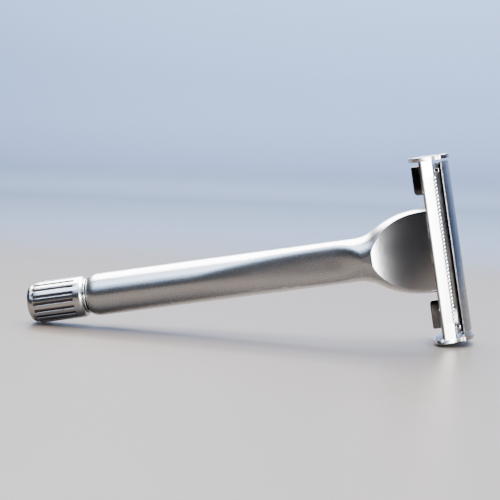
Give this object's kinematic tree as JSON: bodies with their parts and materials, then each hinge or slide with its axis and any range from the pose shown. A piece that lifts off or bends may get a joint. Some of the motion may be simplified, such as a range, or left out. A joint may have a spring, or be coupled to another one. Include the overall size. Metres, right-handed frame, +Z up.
{
  "type": "safety razor",
  "caption": "Single-edge safety razor with a fluted adjusting knob, necked round handle, oval-ended head, combed guard bar and convex cap over a sliding blade.",
  "frame": {"origin": "on the surface that the razor lies on, under the middle of its bounding box", "axes": "+X from the knob towards the head, +Z up, -Y the side of the guard bar and cutting edge; the handle rises to the head at about ten degrees because the razor lies on its knob and its lower end plate"},
  "size_m": [0.1054, 0.0148, 0.0434],
  "materials": {
    "satin_steel": "satin, fine bead-blasted look",
    "head_steel": "satin, a little brighter on edges",
    "tab_steel": "smooth",
    "bright_steel": "bright turned",
    "screw_steel": "machined",
    "spring_steel": "drawn",
    "blade_steel": "ground and honed",
    "bronze": "turned",
    "seal_rubber": "matte",
    "fibre": "matte"
  },
  "bodies": {
    "handle": {"handle_body": "satin_steel", "rear_bush": "bronze", "front_bush": "bronze", "thrust_washer": "bright_steel", "friction_washer": "fibre", "shaft_seal": "seal_rubber", "guard_bar": "head_steel", "guard_pins": "bright_steel", "base_plate": "head_steel", "rear_flange": "tab_steel", "flange_screws": "screw_steel", "neck_screws": "screw_steel", "neck_dowels": "bright_steel", "end_plate_upper": "head_steel", "end_plate_lower": "head_steel", "plate_screws": "screw_steel"},
    "knob": {"adjusting_knob": "satin_steel", "knob_screw": "screw_steel", "adjuster_shaft": "bright_steel", "shaft_clip": "spring_steel"},
    "carriage": {"blade_bed": "head_steel", "guide_pins": "bright_steel", "blade_spring": "spring_steel", "spring_rivets": "bright_steel", "blade_stop_upper": "bright_steel", "blade_stop_lower": "bright_steel", "return_springs": "spring_steel", "cap": "head_steel", "cap_pins": "bright_steel"},
    "blade": {"blade": "blade_steel"}
  },
  "joints": [
    {"name": "knob_turn", "type": "hinge", "parent": "handle", "child": "knob", "pos_m": [-0.04716, -0.00189, 0.00533], "axis": [-0.9843, 0, -0.1764], "range_deg": [0, 300]},
    {"name": "carriage_slide", "type": "slide", "parent": "handle", "child": "carriage", "axis": [0.9843, 0, 0.1764], "range_m": [0, 0.00038]},
    {"name": "blade_slide", "type": "slide", "parent": "carriage", "child": "blade", "axis": [-0.1764, 0, 0.9843], "range_m": [0, 0.044]}
  ],
  "couplings": [
    {"joint": "knob_turn", "follows": "carriage_slide", "rad_per_m": 13778}
  ]
}
